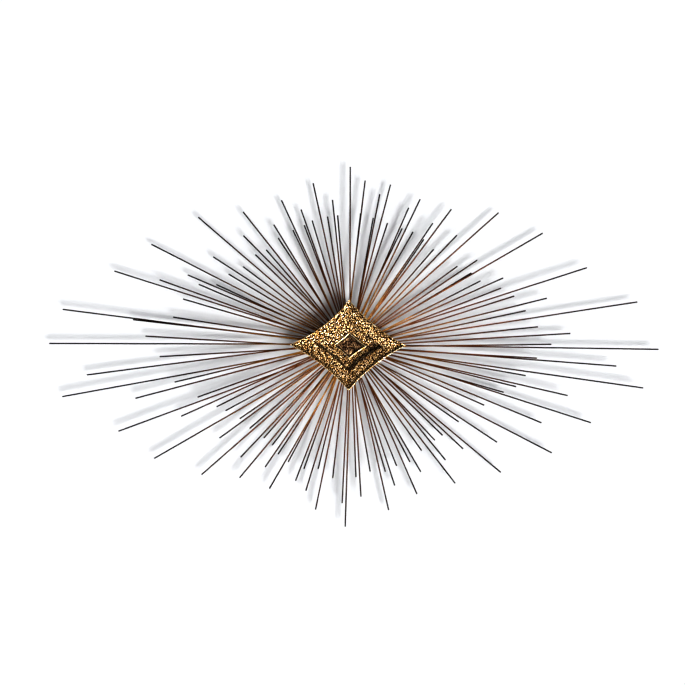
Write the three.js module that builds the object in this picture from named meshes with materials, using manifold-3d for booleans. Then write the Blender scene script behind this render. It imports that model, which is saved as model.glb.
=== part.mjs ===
// Starburst wall sculpture: brazed metal rods fanning out behind a stepped, hammered brass diamond.
//
// It is modelled lying face up on a bench: x to the right, y towards the top of the wall, and z the
// distance off the wall, all in millimetres. The last lines stand it up against the wall.

import * as THREE from 'three';
import { mergeVertices } from 'three/addons/utils/BufferGeometryUtils.js';
import Module from 'manifold-3d';

const wasm = await Module();
wasm.setup();

// ---------------------------------------------------------------- driving dimensions, mm and degrees

const TOUCH_GAP = 0.3;            // left between pieces that touch or are brazed together
const DIAGONALS = [45, 135, 225, 315];   // bearings of the posts, anticlockwise from the right
const ROUND_SIDES = 40;           // sides of a large disc
const POST_SIDES = 12;

// The rods, and the layers that their feet lie in
const ROD_DIAMETER = 3.2;
const ROD_SIDES = 6;
// Corner radius of a many-sided rod with the section, and so the weight, of the round one
const ROD_CORNER_RADIUS =
  (ROD_DIAMETER / 2) * Math.sqrt((2 * Math.PI / ROD_SIDES) / Math.sin(2 * Math.PI / ROD_SIDES));
const LAYER_COUNT = 4;
const FIRST_LAYER = 44.4;         // distance off the wall of the rearmost rods
const LAYER_PITCH = 4.4;
const FOOT_INNER_RADIUS = 54;
const FOOT_OUTER_RADIUS = 68;
const FOOT_MARGIN = 2.4;          // metal beside the outermost rod of a foot
const ROD_START_RADIUS = 56.5;    // where a rod ends inside its foot

// Wall plate, standoffs and hub
const WALL_PLATE_RADIUS = 58;
const PLATE_THICKNESS = 3;
const KEYHOLE_X = 20;
const KEYHOLE_ENTRY_Y = 6;        // centre of the round entry
const KEYHOLE_ENTRY_RADIUS = 6;
const KEYHOLE_SLOT_RADIUS = 3;
const KEYHOLE_RISE = 16;          // from the centre of the entry to the top end of the slot
const KEYHOLE_ARC_STEPS = 6;
const STANDOFF_RADIUS = 5;
const STANDOFF_RING = 42;         // distance of the standoffs from the centre line
const HUB_RADIUS = 66;
const HUB_CORE_RADIUS = 36;
const HUB_BACK_Z = 39;
const HUB_FRONT_Z = 60;

// The boss: tips of each diamond, [x, y], in the order right, top, left, bottom
const OUTER_TIPS = [[141, -1], [0, 113], [-147, 1], [-1, -113]];
const STEP_TIPS = [[75, -4], [1, 57], [-75, 3], [-1, -61]];
const MIDDLE_TIPS = [[78, -4], [1, 60], [-78, 3], [-1, -64]];
const RECESS_TIPS = [[36, -3], [1, 25], [-31, -2], [0, -27]];
const BACK_PLATE_TIPS = [[102, 0], [0, 82], [-102, 0], [0, -82]];
// How far each side is hollowed: upper right, upper left, lower left, lower right
const OUTER_HOLLOWS = [10, 14, 9, 10];
const STEP_HOLLOWS = [3, 4, 4, 5];
const RECESS_HOLLOWS = [1, 1, 2, 1];
const BACK_PLATE_HOLLOWS = [4, 4, 4, 4];
const SIDE_STEPS = 12;            // points along each side of a diamond

// Sections through the boss: [how far across from the outer edge to the inner one, distance off the wall]
const OUTER_SECTION = [
  [0, 95],        // crest of the rim
  [0.05, 95],
  [0.22, 93],     // foot of the rim
  [0.86, 91.5],   // top of the bevel round the opening
  [1, 89],        // top of the step
  [1, 78.8],      // bottom of the step
  [0.94, 78.8],
  [0.91, 86.5],
  [0, 91],
];
const MIDDLE_SECTION = [
  [0, 78.3],
  [0.76, 76.5],
  [0.82, 78],     // lip round the recess
  [0.88, 78],
  [1, 71.5],      // bottom of the recess wall
  [0.94, 70],
  [0.74, 74],
  [0, 75.6],
];
const OPEN_CORNER = [[86, -4], [57, 11], [43, -5], [54, -18]];   // cut out of the middle frame
const CUTTER_HEIGHT = 100;        // clears the highest point of the boss
const BACK_PLATE_Z = HUB_FRONT_Z + PLATE_THICKNESS + TOUCH_GAP;
const OUTER_POST_RADIUS = 4;
const OUTER_POST_RING = 54;
const OUTER_POST_TOP = 86.2;
const INNER_POST_RADIUS = 3;
const INNER_POST_RING = 32;
const INNER_POST_TOP = 73.4;

// The cut list. One line is one fan: the rods brazed to one foot. Each rod is
// [bearing of its tip in degrees, reach of its tip from the centre in mm,
//  how far to the left of the centre its line passes in mm, looking outwards].
// Fans go round in pairs that share a stretch of bearings, with their rods taking turns.
const FANS = [
  [[359.2, 775, 1], [3, 555, -4], [8.5, 730, -3]],
  [[0.2, 506, -5], [5.5, 475, -4], [11, 450, -9]],
  [[13.3, 508, -5], [18, 625, 2], [23.5, 420, -4]],
  [[16.5, 430, -9], [20.5, 405, -5], [26, 365, -7]],
  [[30, 560, -1], [33.5, 385, -3], [41.5, 500, -2], [48.5, 320, -3]],
  [[30.5, 355, -4], [36, 335, -1], [45.5, 385, -5]],
  [[53, 425, -2], [60.5, 325, 2], [65.5, 320, 8]],
  [[54.7, 323, -5], [55.5, 369, -2], [64, 405, -2]],
  [[66.5, 375, 2], [75.5, 415, 1], [79.2, 324, -4]],
  [[72.5, 320, 4], [78.5, 385, -4]],
  [[84.4, 413, 10], [89.6, 445, -2], [96.5, 365, 3]],
  [[85, 330, 8], [95, 325, 1], [99.5, 325, 3]],
  [[102.5, 415, 1], [109.5, 360, 0], [115, 400, 2]],
  [[106.5, 325, -1], [110.5, 320, -2], [116, 320, 2]],
  [[122, 355, 3], [128.5, 425, 1], [134, 380, -5], [139.7, 494, 4]],
  [[123.5, 320, 0], [131, 315, 1], [136, 325, 1]],
  [[143.5, 330, 2], [149.5, 350, 2], [155.5, 365, 2]],
  [[147, 405, 0], [153, 555, 1], [156.5, 440, -2]],
  [[158, 405, 8], [162.5, 615, 2], [171, 445, -2]],
  [[161, 500, 7], [164.5, 430, 6], [172.9, 720, 2]],
  [[173, 470, 0], [177.5, 510, 8], [183.5, 475, 2]],
  [[173.3, 544, -2], [179.7, 750, -2], [186.5, 660, -10]],
  [[190.2, 728, -1], [194, 550, -7], [200.5, 615, 3], [205, 365, -10]],
  [[192, 445, -11], [199, 400, -5], [203, 455, -10]],
  [[208, 350, -2], [214, 330, -4], [220, 325, -3]],
  [[210.2, 564, 3], [215.7, 399, -3], [221.3, 491, 2]],
  [[226, 390, -4], [230.5, 430, 3], [235.5, 370, 0], [241, 410, 8]],
  [[227.5, 315, -7], [232.5, 315, 1], [237, 325, 2]],
  [[242.5, 330, 3], [250, 330, -2], [256, 320, -2]],
  [[248.5, 365, -3], [253.5, 380, 3], [258.5, 420, 1]],
  [[263, 335, -3], [268.8, 454, 5], [274.5, 380, 8]],
  [[267.5, 395, 2], [273, 330, 4], [279.5, 320, -2]],
  [[283.5, 425, 5], [288, 370, 1], [294.5, 410, 6], [299.5, 365, -4]],
  [[286, 330, -1], [291.5, 325, -2], [297.5, 330, 0]],
  [[304.5, 320, -4], [310, 375, 3], [316, 325, 1], [320, 495, -1]],
  [[307.5, 435, -1], [312, 320, -4], [317.7, 385, 5]],
  [[325, 335, -1], [332, 575, -7], [338, 520, 4], [343, 405, -6]],
  [[326.7, 443, 3], [336, 370, -1], [342.2, 635, 0]],
  [[346, 430, 1], [350.2, 448, 1], [355.5, 670, -1]],
  [[347, 560, -1], [351.7, 742, -3], [356, 470, -6]],
];

// ---------------------------------------------------------------- materials

function metal(color, roughness) {
  return new THREE.MeshStandardMaterial({ color, roughness, metalness: 1 });
}

const hammeredBrass = () => metal(0xa87a3c, 0.38);
const darkBrass = () => metal(0x3a2616, 0.55);
const patinatedRod = () => metal(0x4a2418, 0.42);
const blackenedSteel = () => metal(0x34302c, 0.6);

// ---------------------------------------------------------------- helpers

const radians = THREE.MathUtils.degToRad;

function polar(radius, angle) {
  return new THREE.Vector2(radius * Math.cos(angle), radius * Math.sin(angle));
}

function toSolid(geometry) {
  const bare = geometry.clone();
  bare.deleteAttribute('normal');
  bare.deleteAttribute('uv');
  const merged = mergeVertices(bare);
  const vertProperties = new Float32Array(merged.attributes.position.array);
  const triVerts = new Uint32Array(merged.index.array);
  return new wasm.Manifold(new wasm.Mesh({ numProp: 3, vertProperties, triVerts }));
}

function fromSolid(solid) {
  const { vertProperties, triVerts } = solid.getMesh();
  const geometry = new THREE.BufferGeometry();
  geometry.setAttribute('position', new THREE.BufferAttribute(vertProperties, 3));
  geometry.setIndex(new THREE.BufferAttribute(triVerts, 1));
  geometry.computeVertexNormals();
  return geometry;
}

function plate(shape, thickness) {
  return new THREE.ExtrudeGeometry(shape, {
    depth: thickness,
    bevelEnabled: false,
    curveSegments: KEYHOLE_ARC_STEPS,
  });
}

// A round bar standing on its lower end at z = 0
function roundBar(radius, length, sides) {
  const geometry = new THREE.CylinderGeometry(radius, radius, length, sides);
  geometry.rotateX(Math.PI / 2);
  geometry.translate(0, 0, length / 2);
  return geometry;
}

function addPiece(group, name, geometry, material, z = 0) {
  const mesh = new THREE.Mesh(geometry, material);
  mesh.name = name;
  mesh.position.z = z;
  group.add(mesh);
  return mesh;
}

// Four equal posts on the diagonals
function addPosts(group, name, ring, radius, bottom, top, makeMaterial) {
  DIAGONALS.forEach((bearing, index) => {
    const geometry = roundBar(radius, top - bottom, POST_SIDES);
    const post = addPiece(group, `${name}_${index + 1}`, geometry, makeMaterial(), bottom);
    const place = polar(ring, radians(bearing));
    post.position.x = place.x;
    post.position.y = place.y;
  });
}

// ---------------------------------------------------------------- diamonds with hollow sides

function diamondPoints(tips, hollows) {
  const corners = tips.map(([x, y]) => new THREE.Vector2(x, y));
  return corners.flatMap((corner, side) => {
    const next = corners[(side + 1) % corners.length];
    const middle = corner.clone().lerp(next, 0.5);
    const inward = middle.clone().negate().normalize();
    const control = middle.addScaledVector(inward, 2 * hollows[side]);
    return new THREE.QuadraticBezierCurve(corner, control, next).getPoints(SIDE_STEPS).slice(0, -1);
  });
}

// A closed frame between two outlines that have the same number of points, with a section that
// is carried round from point to point
function frameBetween(outerPoints, innerPoints, section) {
  const positions = [];
  const indices = [];
  const stations = outerPoints.length;
  const corners = section.length;
  for (let station = 0; station < stations; station += 1) {
    for (const [across, height] of section) {
      const point = outerPoints[station].clone().lerp(innerPoints[station], across);
      positions.push(point.x, point.y, height);
    }
  }
  for (let station = 0; station < stations; station += 1) {
    const next = (station + 1) % stations;
    for (let corner = 0; corner < corners; corner += 1) {
      const after = (corner + 1) % corners;
      const a = station * corners + corner;
      const b = next * corners + corner;
      const c = next * corners + after;
      const d = station * corners + after;
      indices.push(a, b, c, a, c, d);
    }
  }
  const geometry = new THREE.BufferGeometry();
  geometry.setAttribute('position', new THREE.Float32BufferAttribute(positions, 3));
  geometry.setIndex(indices);
  geometry.computeVertexNormals();
  return geometry;
}

// ---------------------------------------------------------------- wall plate, standoffs and hub

function keyhole(centreX) {
  const neck = Math.asin(KEYHOLE_SLOT_RADIUS / KEYHOLE_ENTRY_RADIUS);
  const slotTop = KEYHOLE_ENTRY_Y + KEYHOLE_RISE - KEYHOLE_SLOT_RADIUS;
  const path = new THREE.Path();
  const upright = Math.PI / 2;
  path.absarc(centreX, KEYHOLE_ENTRY_Y, KEYHOLE_ENTRY_RADIUS, upright + neck, upright - neck, false);
  path.absarc(centreX, slotTop, KEYHOLE_SLOT_RADIUS, 0, Math.PI, false);
  path.closePath();
  return path;
}

function addWallPlate(group) {
  const turn = 2 * Math.PI / ROUND_SIDES;
  const rim = Array.from({ length: ROUND_SIDES }, (_, side) => polar(WALL_PLATE_RADIUS, side * turn));
  const shape = new THREE.Shape(rim);
  shape.holes.push(keyhole(-KEYHOLE_X), keyhole(KEYHOLE_X));
  addPiece(group, 'wall_plate', plate(shape, PLATE_THICKNESS), blackenedSteel());
  addPosts(
    group,
    'standoff_post',
    STANDOFF_RING,
    STANDOFF_RADIUS,
    PLATE_THICKNESS + TOUCH_GAP,
    HUB_BACK_Z - TOUCH_GAP,
    blackenedSteel,
  );
}

function addHub(group) {
  const disc = roundBar(HUB_RADIUS, PLATE_THICKNESS, ROUND_SIDES);
  const coreBottom = HUB_BACK_Z + PLATE_THICKNESS + TOUCH_GAP;
  const coreLength = HUB_FRONT_Z - TOUCH_GAP - coreBottom;
  addPiece(group, 'hub_back_disc', disc, blackenedSteel(), HUB_BACK_Z);
  const core = roundBar(HUB_CORE_RADIUS, coreLength, ROUND_SIDES);
  addPiece(group, 'hub_core', core, blackenedSteel(), coreBottom);
  addPiece(group, 'hub_front_disc', disc.clone(), blackenedSteel(), HUB_FRONT_Z);
}

// ---------------------------------------------------------------- rods and their feet

// The direction of a rod whose tip is known and whose line passes a given way beside the centre
function rodLine([bearing, reach, pass]) {
  const angle = radians(bearing) - Math.asin(pass / reach);
  return { angle, pass, tip: Math.sqrt(reach ** 2 - pass ** 2) };
}

// Bearing at which a rod's line crosses a circle round the centre
function crossing(line, radius) {
  return line.angle + Math.asin(line.pass / radius);
}

function rodSolid(line) {
  const start = Math.sqrt(ROD_START_RADIUS ** 2 - line.pass ** 2);
  const length = line.tip - start;
  const geometry = new THREE.CylinderGeometry(ROD_CORNER_RADIUS, ROD_CORNER_RADIUS, length, ROD_SIDES);
  geometry.rotateZ(-Math.PI / 2);
  geometry.translate((line.tip + start) / 2, line.pass, 0);
  geometry.rotateZ(line.angle);
  return toSolid(geometry);
}

function unwrap(angle, near) {
  return angle + 2 * Math.PI * Math.round((near - angle) / (2 * Math.PI));
}

// A flat foot just wide enough for its rods, centred on their height
function footSolid(lines) {
  const middle = lines[1].angle;
  const thickness = LAYER_PITCH - TOUCH_GAP;
  const corners = [FOOT_INNER_RADIUS, FOOT_OUTER_RADIUS].flatMap((radius) => {
    const bearings = lines.map((line) => unwrap(crossing(line, radius), middle));
    const margin = FOOT_MARGIN / radius;
    const sides = [Math.min(...bearings) - margin, Math.max(...bearings) + margin];
    return sides.map((side) => polar(radius, side));
  });
  const [innerRight, innerLeft, outerRight, outerLeft] = corners;
  const geometry = plate(new THREE.Shape([innerRight, outerRight, outerLeft, innerLeft]), thickness);
  geometry.translate(0, 0, -thickness / 2);
  return toSolid(geometry);
}

function addFans(group) {
  FANS.forEach((rods, index) => {
    const lines = rods.map(rodLine);
    const solid = lines.reduce((sum, line) => sum.add(rodSolid(line)), footSolid(lines));
    const name = `rod_fan_${String(index + 1).padStart(2, '0')}`;
    const layer = index % LAYER_COUNT;
    addPiece(group, name, fromSolid(solid), patinatedRod(), FIRST_LAYER + layer * LAYER_PITCH);
  });
}

// ---------------------------------------------------------------- the boss

function addOuterFrame(group) {
  const frame = frameBetween(
    diamondPoints(OUTER_TIPS, OUTER_HOLLOWS),
    diamondPoints(STEP_TIPS, STEP_HOLLOWS),
    OUTER_SECTION,
  );
  addPiece(group, 'outer_frame', frame, hammeredBrass());
}

function addMiddleFrame(group) {
  const frame = frameBetween(
    diamondPoints(MIDDLE_TIPS, STEP_HOLLOWS),
    diamondPoints(RECESS_TIPS, RECESS_HOLLOWS),
    MIDDLE_SECTION,
  );
  const cutterShape = new THREE.Shape(OPEN_CORNER.map(([x, y]) => new THREE.Vector2(x, y)));
  const cutter = plate(cutterShape, CUTTER_HEIGHT);
  addPiece(group, 'middle_frame', fromSolid(toSolid(frame).subtract(toSolid(cutter))), hammeredBrass());
}

function addBackPlate(group) {
  const shape = new THREE.Shape(diamondPoints(BACK_PLATE_TIPS, BACK_PLATE_HOLLOWS));
  addPiece(group, 'back_plate', plate(shape, PLATE_THICKNESS), darkBrass(), BACK_PLATE_Z);
}

function addBossPosts(group) {
  const bottom = BACK_PLATE_Z + PLATE_THICKNESS + TOUCH_GAP;
  addPosts(group, 'outer_post', OUTER_POST_RING, OUTER_POST_RADIUS, bottom, OUTER_POST_TOP, darkBrass);
  addPosts(group, 'inner_post', INNER_POST_RING, INNER_POST_RADIUS, bottom, INNER_POST_TOP, darkBrass);
}

// ---------------------------------------------------------------- assembly

const sculpture = new THREE.Group();
addWallPlate(sculpture);
addHub(sculpture);
addFans(sculpture);
addBackPlate(sculpture);
addBossPosts(sculpture);
addMiddleFrame(sculpture);
addOuterFrame(sculpture);

// Stand it up: the bench's y becomes the wall's height, and the front faces -Y
sculpture.rotation.x = Math.PI / 2;

export default sculpture;
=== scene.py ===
"""Looks of the starburst wall sculpture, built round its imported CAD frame.

Everything is in metres in the frame's own axes: +Z is up, the wall is the plane Y = 0, and the
front faces -Y. The rods, their feet, the boss, the hub and the posts are made again as fine meshes
where the CAD nodes say they are, the wall plate gets soft edges, and every piece has a material
made of nodes.
"""

import math
import random
from collections import namedtuple

import bmesh
import bpy
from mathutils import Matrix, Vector, noise


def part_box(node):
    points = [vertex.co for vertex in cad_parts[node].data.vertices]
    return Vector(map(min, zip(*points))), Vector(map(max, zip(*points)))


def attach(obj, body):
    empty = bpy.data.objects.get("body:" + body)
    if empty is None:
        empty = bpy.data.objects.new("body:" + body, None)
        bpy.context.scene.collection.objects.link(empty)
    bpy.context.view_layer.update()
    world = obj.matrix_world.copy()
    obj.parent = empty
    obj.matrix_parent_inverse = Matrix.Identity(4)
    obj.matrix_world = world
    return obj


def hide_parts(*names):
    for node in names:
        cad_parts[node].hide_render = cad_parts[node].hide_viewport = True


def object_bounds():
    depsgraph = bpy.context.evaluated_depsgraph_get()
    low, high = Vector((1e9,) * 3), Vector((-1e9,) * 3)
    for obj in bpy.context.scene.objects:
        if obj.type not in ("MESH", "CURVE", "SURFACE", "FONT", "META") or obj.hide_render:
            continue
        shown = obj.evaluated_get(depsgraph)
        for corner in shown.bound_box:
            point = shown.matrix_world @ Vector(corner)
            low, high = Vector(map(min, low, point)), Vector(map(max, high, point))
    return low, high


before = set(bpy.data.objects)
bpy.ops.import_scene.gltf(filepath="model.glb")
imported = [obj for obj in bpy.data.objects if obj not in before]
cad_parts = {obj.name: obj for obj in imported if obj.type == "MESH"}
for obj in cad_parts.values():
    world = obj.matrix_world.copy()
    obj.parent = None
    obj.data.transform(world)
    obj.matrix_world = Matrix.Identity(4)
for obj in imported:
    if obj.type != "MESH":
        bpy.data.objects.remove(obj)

CAD_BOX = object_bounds()
BODY = "root"
MM = 0.001
RIGHT = Vector((1, 0, 0))
REARWARD = Vector((0, 1, 0))
UP = Vector((0, 0, 1))
SEED = 7

# ---------------------------------------------------------------- driving values

# Rods
ROD_RING_STEP = 9 * MM            # distance between rings of points along a rod
FEWEST_RINGS = 4
ROD_SIDES = 10
ROD_INSET = 2.5 * MM              # how far outside its foot's inner corners a rod starts
ROD_BOW = 0.35 * MM               # how far a rod strays from dead straight
ROD_SWELL = 0.05                  # share by which a rod's radius varies
BOW_RATE = 9                      # how fast the bow changes along a rod, per metre
SWELL_RATE = 6                    # how much faster the radius changes than the bow
PHASES = 50                       # the range that each rod draws its own unevenness from
BOW_APART = Vector((7, 3, 1))     # makes the bow's two directions differ
PATINA_REACH = 510 * MM           # a rod is black from here out, or from its tip if that is nearer
TIP_PROFILE = ((0.5, 1.0), (0.18, 0.93), (0.0, 0.68))   # (back from the end, size), in rod radii

# The square-cut tips of the CAD rods
NEAREST_TIP = 0.25                # every rod reaches further out than this
TIP_FACING = 0.9                  # how squarely a tip's facets face outwards, as a cosine
TIP_SPREAD = 4 * MM               # the facets of one tip lie closer together than this

# Feet, and the braze where each rod leaves its foot
FOOT_BEVEL = 0.7 * MM
ON_THE_FACE = 0.1 * MM            # a corner this close to the foot's rear face lies on it
BRAZE_LENGTH = 6 * MM
BRAZE_SUNK = 0.5 * MM             # how far inside the foot's outer corners the braze starts
BRAZE_GIRTH = 1.65                # in rod radii
BRAZE_UNEVEN = 0.12               # share by which its girth varies
BRAZE_PROFILE = ((-0.2, 0.6), (0.0, 1.0), (0.25, 0.95), (0.55, 0.7), (1.0, 0.42))   # (along, girth)

# Hammered brass
FRAME_VOXEL = 0.84 * MM
BACK_PLATE_VOXEL = 1.3 * MM
BEAD = 4.6 * MM                   # from one hammered bead to the next
ROW_PITCH = 0.87                  # from row to row, in beads
BEAD_JITTER = 0.3                 # how far a bead strays from its place, in beads
BEAD_SMALLEST = 0.85
BEAD_VARIETY = 0.3                # from the smallest bead to the largest
BEAD_TOP = 1.02                   # relief at a bead's middle, before it is cut to 0 to 1
BEAD_SLOPE = 1.55                 # relief lost per bead's width
GRAIN = 0.2                       # fine unevenness on top of the beads
GRAIN_RATE = 2.6                  # how many times finer than a bead it is
FLANK_SHIFT = (0.3, 0.8)          # how far the rows slide in X and Z for each metre along Y
FLANK_RELIEF = 0.35               # how much of the relief a flank keeps
BEAD_RELIEF = 0.9 * MM            # height from pit to bead
SMOOTH_PASSES = 3
SHARPNESS_PASSES = 2
EDGE_START = 0.03                 # sharpness from which an edge is rubbed smooth and painted lighter
EDGE_FULL = 0.075                 # sharpness at which it is fully rubbed smooth and painted lighter
EDGE_LEVEL = 0.80                 # where a rubbed edge lies between pit and bead, painted light gold: partly wear, partly a painted highlight
CREASE_OXIDE_AND_SHADE = 1.5                # how much creases are painted darker: partly oxide, partly painted shade
CREASE_OXIDE_AND_SHADE_LIMIT = -0.25

# Hub, plates and posts
ROUND_SIDES = 96
POST_SIDES = 28
POST_COUNT = 4                    # of each of the three kinds of post
EDGE_BEVEL = 0.6 * MM
EDGE_PROFILE = ((0, 3), (0, 1), (0.3, 0.3), (1, 0))     # (back from a face, in from the rim), in bevels
SHARP_ANGLE = 50                  # degrees between two faces, above which their edge is softened
FILLET = 1.6 * MM                 # height of the braze fillet at the end of a post
FILLET_PROFILE = ((0, 1.35), (0.25, 1.22), (0.6, 1.07), (1, 1))   # (in fillets, in post radii)
TURNED_LEVEL = 0.35               # a turned piece's shade between pit and bead
TURNED_VARIETY = 0.3
TURNED_GRAIN = 60                 # patches per metre

# Stage
WALL_GAP = 1 * MM
WALL_HALF_WIDTH = 2.2
WALL_TOP = 2.0
WALL_COLOUR = (0.70, 0.70, 0.705, 1.0)
FLOOR_BELOW = 0.5                 # below the lowest rod
FLOOR_HALF = 14.0
FLOOR_COLOUR = (0.89, 0.89, 0.89, 1.0)
BACKDROP_RADIUS = 22.0
BACKDROP_LIGHT = 1.05

# Camera
LENS = 85.0                       # this and the sensor are in millimetres, as a camera takes them
SENSOR = 36.0
FRAME_WIDTH = 1.7125              # what the camera takes in at the rods
CAMERA_X = -0.0163
CAMERA_Z = 0.0063
CONTRAST = 0.60                   # display gamma: below 1 darkens what isn't white

# Light: strengths, and widths in degrees, which set how soft the shadows are
KEY_LEAN = 25.5                   # degrees between the key light and straight ahead
KEY_STRENGTH = 3.75
KEY_WIDTH = 16.0
FRONT_STRENGTH = 0.20
FRONT_WIDTH = 1.0
SIDE_TOWARDS = Vector((-3, -3, -2))
SIDE_STRENGTH = 0.55
SIDE_WIDTH = 50.0
TOP_STRENGTH = 2.6
TOP_WIDTH = 8.0

# Light of the room round the sculpture
ROOM = ((-1.0, 0.10), (-0.5, 0.28), (0.0, 0.60), (1.0, 1.0))   # by direction, from in front to behind
ROOM_TINT = (0.95, 1.0, 1.07)     # a little cool
ROOM_BELOW = 1.6                  # the pale floor makes the room brighter below
ROOM_ABOVE = 0.4


# ---------------------------------------------------------------- material helpers

NOISE_LOW = 0.3                   # most of a noise texture's values lie between these two
NOISE_HIGH = 0.7


class Graph:
    """A node tree, with a short way to add and link nodes."""

    def __init__(self, tree):
        self.tree = tree

    def node(self, kind, **settings):
        made = self.tree.nodes.new(kind)
        for key, value in settings.items():
            setattr(made, key, value)
        return made

    def link(self, output, socket):
        self.tree.links.new(output, socket)

    def add(self, a, b):
        made = self.node("ShaderNodeMath", operation="ADD")
        self.link(a, made.inputs[0])
        self.link(b, made.inputs[1])
        return made.outputs[0]

    def span(self, value, low, high, to_low=0.0, to_high=1.0):
        """Maps low to high onto to_low to to_high, and no further."""
        made = self.node("ShaderNodeMapRange", clamp=True)
        self.link(value, made.inputs["Value"])
        made.inputs["From Min"].default_value = low
        made.inputs["From Max"].default_value = high
        made.inputs["To Min"].default_value = to_low
        made.inputs["To Max"].default_value = to_high
        return made.outputs["Result"]

    def varied(self, texture, to_low, to_high):
        """Spreads a noise texture over a range of values."""
        return self.span(texture, NOISE_LOW, NOISE_HIGH, to_low, to_high)

    def ramp(self, value, stops):
        """A colour ramp from (position, (r, g, b)) stops."""
        made = self.node("ShaderNodeValToRGB")
        self.link(value, made.inputs["Fac"])
        elements = made.color_ramp.elements
        while len(elements) < len(stops):
            elements.new(1.0)
        for element, (position, colour) in zip(elements, stops):
            element.position = position
            element.color = (*colour, 1.0)
        return made.outputs["Color"]

    def mix(self, share, a, b):
        made = self.node("ShaderNodeMix", data_type="RGBA")
        self.link(share, made.inputs["Factor"])
        self.link(a, made.inputs[6])      # the two colour inputs and the colour result
        self.link(b, made.inputs[7])
        return made.outputs[2]


class Paint(Graph):
    """A new material's node tree, with textures placed by the object's own coordinates."""

    def __init__(self, name):
        self.material = bpy.data.materials.new(name)
        self.material.use_nodes = True
        super().__init__(self.material.node_tree)
        self.shader = self.tree.nodes["Principled BSDF"]
        self.surface = self.tree.nodes["Material Output"].inputs["Surface"]
        self.place = self.node("ShaderNodeTexCoord").outputs["Object"]

    def noise(self, scale, detail=4.0, roughness=0.55):
        made = self.node("ShaderNodeTexNoise")
        self.link(self.place, made.inputs["Vector"])
        made.inputs["Scale"].default_value = scale
        made.inputs["Detail"].default_value = detail
        made.inputs["Roughness"].default_value = roughness
        return made.outputs["Fac"]

    def attribute(self, name):
        return self.node("ShaderNodeAttribute", attribute_name=name).outputs["Fac"]

    def bump(self, height, strength, distance):
        made = self.node("ShaderNodeBump")
        self.link(height, made.inputs["Height"])
        made.inputs["Strength"].default_value = strength
        made.inputs["Distance"].default_value = distance
        self.link(made.outputs["Normal"], self.shader.inputs["Normal"])

    def metal(self, colour, roughness, metallic=1.0):
        """Joins a colour and a roughness to the shader, and makes it metal."""
        self.link(colour, self.shader.inputs["Base Color"])
        self.link(roughness, self.shader.inputs["Roughness"])
        self.shader.inputs["Metallic"].default_value = metallic


# ---------------------------------------------------------------- materials

def hammered_brass():
    """Torched, hammered brass: dark oxide and painted shade in the pits, rubbed gold on the beads and
    edges, with bead tops painted near white as a painted highlight.
    """
    paint = Paint("hammered_brass")
    grime = paint.noise(scale=320.0, roughness=0.6)
    level = paint.add(paint.attribute("relief"), paint.varied(grime, -0.24, 0.24))
    # pits painted near black: partly oxide, partly painted shade; bead tops painted near white: a
    # painted highlight
    colour = paint.ramp(level, [
        (0.26, (0.014, 0.007, 0.004)),
        (0.48, (0.090, 0.042, 0.015)),
        (0.64, (0.350, 0.195, 0.062)),
        (0.79, (0.820, 0.620, 0.300)),
        (0.92, (1.000, 0.980, 0.920)),
    ])
    paint.metal(colour, roughness=paint.span(level, 0.15, 0.95, to_low=0.62, to_high=0.27))
    paint.bump(paint.noise(scale=1200.0, detail=3.0), strength=0.3, distance=0.2 * MM)
    return paint.material


def dark_brass():
    """The recess's back plate and the posts behind the boss: brass gone brown-black; on the back plate
    the dark is partly patina and partly painted shade of the deep recess.
    """
    paint = Paint("dark_brass")
    patches = paint.noise(scale=110.0, detail=5.0, roughness=0.6)
    level = paint.add(paint.attribute("relief"), paint.varied(patches, -0.3, 0.3))
    # brown-black back plate: partly patina, partly painted shade of the deep recess
    colour = paint.ramp(level, [
        (0.16, (0.012, 0.008, 0.006)),
        (0.48, (0.070, 0.040, 0.022)),
        (0.72, (0.230, 0.140, 0.072)),
        (0.94, (0.700, 0.540, 0.340)),
    ])
    paint.metal(colour, roughness=paint.span(level, 0.1, 0.9, to_low=0.62, to_high=0.36))
    paint.bump(paint.noise(scale=700.0, detail=3.0), strength=0.3, distance=0.3 * MM)
    return paint.material


def rod_patina():
    """Drawn rod: copper or gold near the boss, going dark brown to black towards each tip."""
    paint = Paint("rod_patina")
    tint = paint.attribute("tint")
    streaks = paint.noise(scale=38.0, detail=5.0, roughness=0.65)
    streaked = paint.add(paint.attribute("along"), paint.varied(streaks, -0.09, 0.09))
    level = paint.add(streaked, paint.span(tint, 0.0, 1.0, -0.08, 0.08))
    copper = paint.ramp(level, [
        (0.15, (0.170, 0.070, 0.024)),
        (0.40, (0.170, 0.066, 0.024)),
        (0.56, (0.135, 0.050, 0.021)),
        (0.71, (0.086, 0.033, 0.017)),
        (0.84, (0.042, 0.019, 0.012)),
        (1.00, (0.012, 0.007, 0.005)),
    ])
    gold = paint.ramp(level, [
        (0.15, (0.330, 0.180, 0.048)),
        (0.40, (0.340, 0.178, 0.046)),
        (0.56, (0.250, 0.118, 0.034)),
        (0.71, (0.130, 0.058, 0.021)),
        (0.84, (0.050, 0.024, 0.013)),
        (1.00, (0.012, 0.007, 0.005)),
    ])
    colour = paint.mix(paint.span(tint, 0.45, 0.95), copper, gold)
    paint.metal(colour, roughness=paint.varied(streaks, 0.26, 0.46))
    paint.shader.inputs["Specular Tint"].default_value = (0.30, 0.20, 0.14, 1.0)
    return paint.material


def black_steel():
    """Mild steel gone grey, with a little brown bloom and an uneven shine."""
    paint = Paint("black_steel")
    bloom = paint.noise(scale=34.0, detail=6.0, roughness=0.6)
    colour = paint.ramp(bloom, [
        (0.32, (0.130, 0.126, 0.120)),
        (0.52, (0.230, 0.220, 0.206)),
        (0.72, (0.360, 0.300, 0.240)),
    ])
    paint.metal(colour, roughness=paint.varied(paint.noise(scale=160.0), 0.42, 0.66), metallic=0.85)
    paint.bump(paint.noise(scale=420.0), strength=0.25, distance=0.2 * MM)
    return paint.material


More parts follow.
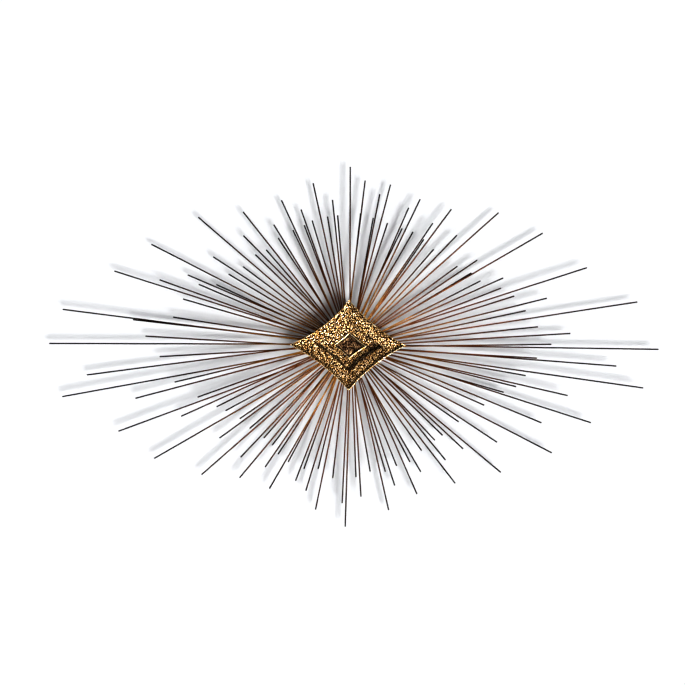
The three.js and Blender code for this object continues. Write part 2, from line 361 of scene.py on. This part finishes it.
def wall_paint():
    """White seen from the front, and clear from behind, so that views from behind look through it."""
    paint = Paint("wall_paint")
    paint.shader.inputs["Base Color"].default_value = WALL_COLOUR
    paint.shader.inputs["Roughness"].default_value = 0.9
    paint.shader.inputs["Specular IOR Level"].default_value = 0.1
    clear = paint.node("ShaderNodeBsdfTransparent")
    either = paint.node("ShaderNodeMixShader")
    paint.link(paint.node("ShaderNodeNewGeometry").outputs["Backfacing"], either.inputs[0])
    paint.link(paint.shader.outputs[0], either.inputs[1])
    paint.link(clear.outputs[0], either.inputs[2])
    paint.link(either.outputs[0], paint.surface)
    return paint.material


def floor_paint():
    paint = Paint("floor_paint")
    paint.shader.inputs["Base Color"].default_value = FLOOR_COLOUR
    paint.shader.inputs["Roughness"].default_value = 0.8
    return paint.material


def backdrop_paint():
    """An even pale glow."""
    paint = Paint("backdrop_paint")
    glow = paint.node("ShaderNodeEmission")
    glow.inputs["Strength"].default_value = BACKDROP_LIGHT
    paint.link(glow.outputs[0], paint.surface)
    return paint.material


MATERIALS = {
    "hammered_brass": hammered_brass(),
    "dark_brass": dark_brass(),
    "rod_patina": rod_patina(),
    "black_steel": black_steel(),
}


# ---------------------------------------------------------------- piece helpers

def add_piece(name, mesh, slot, node):
    """A finished mesh that stands for a CAD node and takes its look from a material slot."""
    piece = bpy.data.objects.new(name, mesh)
    bpy.context.scene.collection.objects.link(piece)
    mesh.materials.append(MATERIALS[slot])
    mesh.polygons.foreach_set("use_smooth", [True] * len(mesh.polygons))
    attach(piece, BODY)
    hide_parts(node)


def mesh_from(bm, name):
    mesh = bpy.data.meshes.new(name)
    bm.to_mesh(mesh)
    bm.free()
    return mesh


def add_ring(bm, centre, across, up, radius, sides):
    """Points round a centre, in the plane of two unit directions."""
    turn = 2 * math.pi / sides
    return [
        bm.verts.new(centre + radius * (across * math.cos(k * turn) + up * math.sin(k * turn)))
        for k in range(sides)
    ]


def bridge(bm, ring, after):
    sides = len(ring)
    for k in range(sides):
        bm.faces.new((ring[k], ring[(k + 1) % sides], after[(k + 1) % sides], after[k]))


def add_tube(bm, rings):
    """A wall from each ring to the next, and a cap on each end."""
    bm.faces.new(rings[0])
    for ring, after in zip(rings, rings[1:]):
        bridge(bm, ring, after)
    bm.faces.new(list(reversed(rings[-1])))


# ---------------------------------------------------------------- rods and feet

Rod = namedtuple("Rod", "tip direction across radius")


def rods_of(node):
    """The rods of a fan, each found from its square-cut tip, whose facets lie close together."""
    caps = []
    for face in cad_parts[node].data.polygons:
        outward = Vector((face.center.x, 0, face.center.z))
        if outward.length < NEAREST_TIP or face.normal.dot(outward.normalized()) < TIP_FACING:
            continue
        near = [cap for cap in caps if (cap["sum"] / cap["area"] - face.center).length < TIP_SPREAD]
        if near:
            cap = near[0]
        else:
            cap = {"sum": Vector(), "area": 0.0, "direction": face.normal.copy()}
            caps.append(cap)
        cap["sum"] += face.center * face.area
        cap["area"] += face.area
    return [
        Rod(
            tip=cap["sum"] / cap["area"],
            direction=cap["direction"],
            across=cap["direction"].cross(REARWARD).normalized(),
            radius=math.sqrt(cap["area"] / math.pi),
        )
        for cap in caps
    ]


def crossing(rod, reach):
    """How far along its line a rod crosses the circle of this radius round the sculpture's axis."""
    aside = Vector((rod.tip.x, 0, rod.tip.z)).length_squared - rod.tip.dot(rod.direction) ** 2
    return math.sqrt(reach ** 2 - aside)


def foot_corners(node):
    """The four corners of a fan's foot, going round it."""
    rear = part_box(node)[1].y
    corners = {}
    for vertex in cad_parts[node].data.vertices:
        if vertex.co.y > rear - ON_THE_FACE:
            key = (round(vertex.co.x, 4), round(vertex.co.z, 4))
            corners[key] = Vector((vertex.co.x, 0, vertex.co.z))
    middle = sum(corners.values(), Vector()) / len(corners)
    return sorted(corners.values(), key=lambda c: math.atan2(c.z - middle.z, c.x - middle.x))


def add_foot(bm, node, corners):
    """A block with softened edges, which is the first thing in its fan's mesh."""
    low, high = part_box(node)
    rear, front = [
        [bm.verts.new((corner.x, y, corner.z)) for corner in corners]
        for y in (high.y, low.y)
    ]
    bm.faces.new(rear)
    bm.faces.new(list(reversed(front)))
    bridge(bm, front, rear)
    bmesh.ops.bevel(
        bm, geom=bm.edges[:], offset=FOOT_BEVEL, segments=2, affect="EDGES", profile=0.6)


def add_rod(bm, rod, inner, chance):
    """A rod from inside its foot to its tip, a little uneven, with a rounded end."""
    along_layer = bm.verts.layers.float["along"]
    tint_layer = bm.verts.layers.float["tint"]
    outward = rod.tip.dot(rod.direction)
    start = crossing(rod, inner)
    length = outward - start
    base = rod.tip - rod.direction * length
    phase = Vector((chance.random(), chance.random(), chance.random())) * PHASES
    tint = chance.random()
    count = max(FEWEST_RINGS, round(length / ROD_RING_STEP))
    stations = [(length * k / count, 1.0) for k in range(count)]
    stations += [(length - back * rod.radius, size) for back, size in TIP_PROFILE]
    rings = []
    for distance, size in stations:
        where = phase + rod.direction * distance * BOW_RATE
        bow = rod.across * noise.noise(where) + REARWARD * noise.noise(where + BOW_APART)
        swell = 1 + ROD_SWELL * noise.noise(where * SWELL_RATE)
        fade = math.sin(math.pi * min(1.0, distance / length))
        centre = base + rod.direction * distance + bow * ROD_BOW * fade
        ring = add_ring(bm, centre, rod.across, REARWARD, rod.radius * size * swell, ROD_SIDES)
        for vertex in ring:
            vertex[along_layer] = (start + distance) / min(outward, PATINA_REACH)
            vertex[tint_layer] = tint
        rings.append(ring)
    add_tube(bm, rings)


def add_braze(bm, rod, outer, chance):
    """A lump of braze where a rod leaves its foot."""
    start = rod.tip - rod.direction * (rod.tip.dot(rod.direction) - crossing(rod, outer) + BRAZE_SUNK)
    rings = []
    for along, size in BRAZE_PROFILE:
        lump = size * (1 + BRAZE_UNEVEN * (chance.random() - 0.5))
        centre = start + rod.direction * BRAZE_LENGTH * along
        radius = rod.radius * BRAZE_GIRTH * lump
        rings.append(add_ring(bm, centre, rod.across, REARWARD, radius, ROD_SIDES))
    add_tube(bm, rings)


def add_fan(node, chance):
    bm = bmesh.new()
    bm.verts.layers.float.new("along")
    bm.verts.layers.float.new("tint")
    corners = foot_corners(node)
    reaches = [corner.length for corner in corners]
    add_foot(bm, node, corners)
    for rod in rods_of(node):
        add_rod(bm, rod, min(reaches) + ROD_INSET, chance)
        add_braze(bm, rod, max(reaches), chance)
    bmesh.ops.recalc_face_normals(bm, faces=bm.faces)
    add_piece(node.replace("rod_fan", "rods"), mesh_from(bm, node), "rod_patina", node)


# ---------------------------------------------------------------- hammered pieces

def hammer(point):
    """Relief of the hammered surface at a point, from 0 in a pit to 1 on a bead.

    The beads lie in rows, each a little out of place, and the flanks of a step carry them on.
    """
    across = (point.x + FLANK_SHIFT[0] * point.y) / BEAD
    up = (point.z + FLANK_SHIFT[1] * point.y) / BEAD / ROW_PITCH
    row = math.floor(up)
    nearest = math.inf
    for k in (row - 1, row, row + 1):
        shift = 0.5 * (k % 2)
        column = math.floor(across - shift)
        for j in (column - 1, column, column + 1):
            stray = noise.cell_vector(Vector((j + 0.5, k + 0.5, 0.5)))
            beside = j + 0.5 + shift + BEAD_JITTER * (stray.x - 0.5) * 2 - across
            above = (k + 0.5 - up) * ROW_PITCH + BEAD_JITTER * (stray.y - 0.5) * 2
            size = BEAD_SMALLEST + BEAD_VARIETY * stray.z
            nearest = min(nearest, math.hypot(beside, above) / size)
    fine = noise.noise(point / BEAD * GRAIN_RATE)
    return max(0.0, min(1.0, BEAD_TOP - BEAD_SLOPE * nearest + GRAIN * fine))


def remeshed(node, voxel):
    """A copy of a CAD node's mesh as an even net of small squares with softened edges."""
    bm = bmesh.new()
    bm.from_mesh(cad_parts[node].data)
    bmesh.ops.remove_doubles(bm, verts=bm.verts, dist=0.001 * MM)
    scratch = bpy.data.objects.new("scratch", mesh_from(bm, "scratch"))
    bpy.context.scene.collection.objects.link(scratch)
    remesh = scratch.modifiers.new("net", "REMESH")
    remesh.mode = "VOXEL"
    remesh.voxel_size = voxel
    depsgraph = bpy.context.evaluated_depsgraph_get()
    mesh = bpy.data.meshes.new_from_object(scratch.evaluated_get(depsgraph))
    bpy.data.objects.remove(scratch)
    bm = bmesh.new()
    bm.from_mesh(mesh)
    for _ in range(SMOOTH_PASSES):
        bmesh.ops.smooth_vert(
            bm, verts=bm.verts, factor=0.5, use_axis_x=True, use_axis_y=True, use_axis_z=True)
    bm.normal_update()
    return bm


def sharpness(bm, voxel):
    """How much each vertex stands out from its neighbours: above 0 on an edge, below in a crease."""
    bm.verts.index_update()
    beside = [[edge.other_vert(vertex) for edge in vertex.link_edges] for vertex in bm.verts]
    sharp = []
    for vertex, others in zip(bm.verts, beside):
        middle = sum((other.co for other in others), Vector()) / len(others)
        sharp.append((vertex.co - middle).dot(vertex.normal) / voxel)
    for _ in range(SHARPNESS_PASSES):
        sharp = [
            (value + sum(sharp[other.index] for other in others)) / (1 + len(others))
            for value, others in zip(sharp, beside)
        ]
    return sharp


def add_hammered(name, node, slot, voxel):
    """A CAD node as a hammered piece, with rubbed edges painted lighter, partly wear and partly a
    painted highlight, and creases painted darker, partly oxide and partly painted shade.
    """
    bm = remeshed(node, voxel)
    layer = bm.verts.layers.float.new("relief")
    moves = []
    for vertex, sharp in zip(bm.verts, sharpness(bm, voxel)):
        # edges are painted light gold: partly wear, partly a painted highlight
        worn_and_highlit = max(0.0, min(1.0, (sharp - EDGE_START) / (EDGE_FULL - EDGE_START)))
        height = hammer(vertex.co) * (1 - worn_and_highlit) + EDGE_LEVEL * worn_and_highlit
        facing = FLANK_RELIEF + (1 - FLANK_RELIEF) * max(0.0, -vertex.normal.y)
        # creases are painted darker: partly oxide, partly painted shade
        vertex[layer] = height + max(CREASE_OXIDE_AND_SHADE_LIMIT, min(0.0, CREASE_OXIDE_AND_SHADE * sharp))
        moves.append(vertex.normal * (height - 0.5) * BEAD_RELIEF * facing)
    for vertex, move in zip(bm.verts, moves):
        vertex.co += move
    add_piece(name, mesh_from(bm, name), slot, node)


def add_boss():
    add_hammered("brass_outer_frame", "outer_frame", "hammered_brass", FRAME_VOXEL)
    add_hammered("brass_middle_frame", "middle_frame", "hammered_brass", FRAME_VOXEL)
    add_hammered("recess_back_plate", "back_plate", "dark_brass", BACK_PLATE_VOXEL)


# ---------------------------------------------------------------- hub, plates and posts

def add_turned(name, node, slot, profile, sides):
    """A piece turned about its own axis along Y.

    profile(length, radius) gives its rings, each as (distance from the rear end, radius).
    """
    low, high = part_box(node)
    centre = (low + high) / 2
    bm = bmesh.new()
    layer = bm.verts.layers.float.new("relief")
    rings = []
    for back, radius in profile(high.y - low.y, (high.x - low.x) / 2):
        middle = Vector((centre.x, high.y - back, centre.z))
        ring = add_ring(bm, middle, RIGHT, UP, radius, sides)
        for vertex in ring:
            patch = noise.noise(vertex.co * TURNED_GRAIN)
            vertex[layer] = TURNED_LEVEL + TURNED_VARIETY * patch
        rings.append(ring)
    add_tube(bm, rings)
    bmesh.ops.recalc_face_normals(bm, faces=bm.faces)
    add_piece(name, mesh_from(bm, name), slot, node)


def other_end(rings, length):
    return [(length - back, radius) for back, radius in reversed(rings)]


def disc_profile(length, radius):
    """A flat disc with softened edges, with rings on its faces that keep them flat when shaded."""
    rings = [(back * EDGE_BEVEL, radius - inwards * EDGE_BEVEL) for back, inwards in EDGE_PROFILE]
    return rings + other_end(rings, length)


def post_profile(length, radius):
    """A round post with a braze fillet swelling at each end."""
    rings = [(back * FILLET, radius * size) for back, size in FILLET_PROFILE]
    return rings + [(length / 2, radius)] + other_end(rings, length)


def add_wall_plate():
    """The CAD plate, whose shape is right, with softened edges."""
    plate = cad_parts["wall_plate"]
    plate.data.materials.clear()
    plate.data.materials.append(MATERIALS["black_steel"])
    bevel = plate.modifiers.new("soft_edges", "BEVEL")
    bevel.width = EDGE_BEVEL
    bevel.segments = 2
    bevel.limit_method = "ANGLE"
    bevel.angle_limit = math.radians(SHARP_ANGLE)


def add_structure():
    for name in ("hub_back_disc", "hub_front_disc", "hub_core"):
        add_turned(f"steel_{name}", name, "black_steel", disc_profile, ROUND_SIDES)
    for k in range(1, POST_COUNT + 1):
        add_turned(f"steel_standoff_{k}", f"standoff_post_{k}", "black_steel", post_profile, POST_SIDES)
        add_turned(f"brass_outer_post_{k}", f"outer_post_{k}", "dark_brass", post_profile, POST_SIDES)
        add_turned(f"brass_inner_post_{k}", f"inner_post_{k}", "dark_brass", post_profile, POST_SIDES)
    add_wall_plate()


# ---------------------------------------------------------------- stage, light and camera

def add_to_stage(name, mesh, material):
    """A piece of the room, which casts no shadow and sheds no light on the sculpture."""
    mesh.materials.append(material)
    piece = bpy.data.objects.new(name, mesh)
    bpy.context.scene.collection.objects.link(piece)
    piece.visible_diffuse = False
    piece.visible_glossy = False
    piece.visible_shadow = False


def rectangle(name, corners):
    mesh = bpy.data.meshes.new(name)
    mesh.from_pydata(corners, [], [(0, 1, 2, 3)])
    return mesh


def add_stage():
    """A wall, a floor and a pale backdrop round everything."""
    low, _ = CAD_BOX
    floor = low.z - FLOOR_BELOW
    wall_mesh = rectangle("wall", [
        (-WALL_HALF_WIDTH, WALL_GAP, floor),
        (WALL_HALF_WIDTH, WALL_GAP, floor),
        (WALL_HALF_WIDTH, WALL_GAP, WALL_TOP),
        (-WALL_HALF_WIDTH, WALL_GAP, WALL_TOP),
    ])
    floor_mesh = rectangle("floor", [
        (-FLOOR_HALF, -FLOOR_HALF, floor),
        (FLOOR_HALF, -FLOOR_HALF, floor),
        (FLOOR_HALF, FLOOR_HALF, floor),
        (-FLOOR_HALF, FLOOR_HALF, floor),
    ])
    bm = bmesh.new()
    bmesh.ops.create_uvsphere(bm, u_segments=64, v_segments=32, radius=BACKDROP_RADIUS)
    add_to_stage("wall", wall_mesh, wall_paint())
    add_to_stage("floor", floor_mesh, floor_paint())
    add_to_stage("backdrop", mesh_from(bm, "backdrop"), backdrop_paint())


def add_sun(name, towards, strength, width):
    """A far light, given the direction towards it and its width in degrees."""
    data = bpy.data.lights.new(name, "SUN")
    data.energy = strength
    data.angle = math.radians(width)
    sun = bpy.data.objects.new(name, data)
    sun.rotation_euler = towards.to_track_quat("Z", "Y").to_euler()
    bpy.context.scene.collection.objects.link(sun)


def add_suns():
    """A soft key from the lower right, a small light in front, a broad one from the lower left and
    one overhead."""
    lean = math.radians(KEY_LEAN)
    side = math.sin(lean) / math.sqrt(2)
    add_sun("key", Vector((side, -math.cos(lean), -side)), KEY_STRENGTH, KEY_WIDTH)
    add_sun("front", Vector((0, -1, 0)), FRONT_STRENGTH, FRONT_WIDTH)
    add_sun("side", SIDE_TOWARDS, SIDE_STRENGTH, SIDE_WIDTH)
    add_sun("top", UP, TOP_STRENGTH, TOP_WIDTH)


def add_room():
    """Light from all round: dim in front and pale behind, and brighter below than above."""
    world = bpy.data.worlds.new("room")
    bpy.context.scene.world = world
    world.use_nodes = True
    graph = Graph(world.node_tree)
    split = graph.node("ShaderNodeSeparateXYZ")
    graph.link(graph.node("ShaderNodeTexCoord").outputs["Generated"], split.inputs[0])
    stops = [((y + 1) / 2, tuple(light * tint for tint in ROOM_TINT)) for y, light in ROOM]
    colour = graph.ramp(graph.span(split.outputs["Y"], -1.0, 1.0), stops)
    strength = graph.span(split.outputs["Z"], -1.0, 1.0, ROOM_BELOW, ROOM_ABOVE)
    background = graph.tree.nodes["Background"]
    graph.link(colour, background.inputs["Color"])
    graph.link(strength, background.inputs["Strength"])


def add_camera(rod_plane):
    """A camera that looks straight at the wall and takes in FRAME_WIDTH at the rods."""
    data = bpy.data.cameras.new("camera")
    data.lens = LENS
    data.sensor_width = SENSOR
    camera = bpy.data.objects.new("camera", data)
    distance = FRAME_WIDTH * LENS / SENSOR
    camera.location = (CAMERA_X, rod_plane - distance, CAMERA_Z)
    camera.rotation_euler = (math.pi / 2, 0, 0)
    bpy.context.scene.collection.objects.link(camera)
    bpy.context.scene.camera = camera


# ---------------------------------------------------------------- build

fans = sorted(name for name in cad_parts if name.startswith("rod_fan"))
fan_rear = max(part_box(name)[1].y for name in fans)
fan_front = min(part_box(name)[0].y for name in fans)
rod_plane = (fan_rear + fan_front) / 2

add_camera(rod_plane)
chance = random.Random(SEED)
for fan in fans:
    add_fan(fan, chance)
add_boss()
add_structure()
add_stage()
add_suns()
add_room()

bpy.context.scene.view_settings.view_transform = "Standard"
bpy.context.scene.view_settings.gamma = CONTRAST
